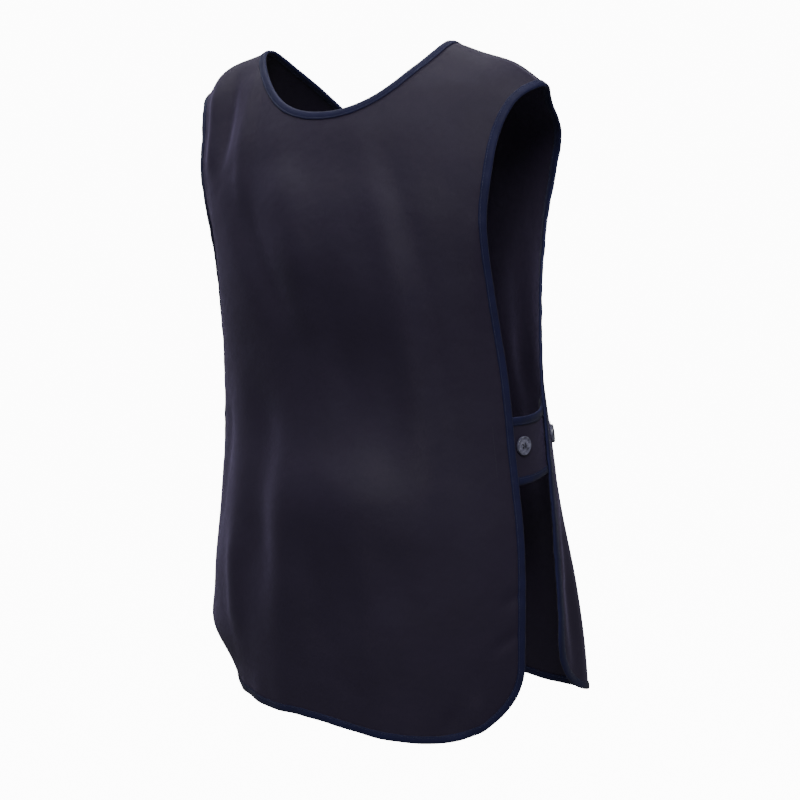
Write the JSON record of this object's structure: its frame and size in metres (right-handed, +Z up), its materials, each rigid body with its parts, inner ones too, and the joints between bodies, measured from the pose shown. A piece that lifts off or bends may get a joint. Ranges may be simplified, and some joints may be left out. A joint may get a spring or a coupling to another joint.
{
  "type": "cobbler apron",
  "caption": "Sleeveless cobbler apron with front and back panels, bound edges, open sides and a buttoned waist tab on each side.",
  "frame": {"origin": "midway between the two neck points, where neckline and shoulder seam meet and the apron sits on the shoulders", "axes": "+Z up as worn; the wearer faces -Y, so the back panel is on +Y and +X is the wearer's left"},
  "size_m": [0.4347, 0.2832, 0.6872],
  "materials": {
    "cloth": "dark navy twill, soft sheen",
    "binding": "mid navy folded tape, slight sheen",
    "button": "marbled grey-blue, polished"
  },
  "bodies": {
    "root": {"back_panel": "cloth", "front_panel": "cloth", "neck_binding": "binding", "edge_binding": "binding", "right_tab": "cloth", "right_tab_binding": "binding", "right_spare_button": "button", "right_fastening_button": "button", "left_tab": "cloth", "left_tab_binding": "binding", "left_spare_button": "button", "left_fastening_button": "button"}
  },
  "joints": []
}
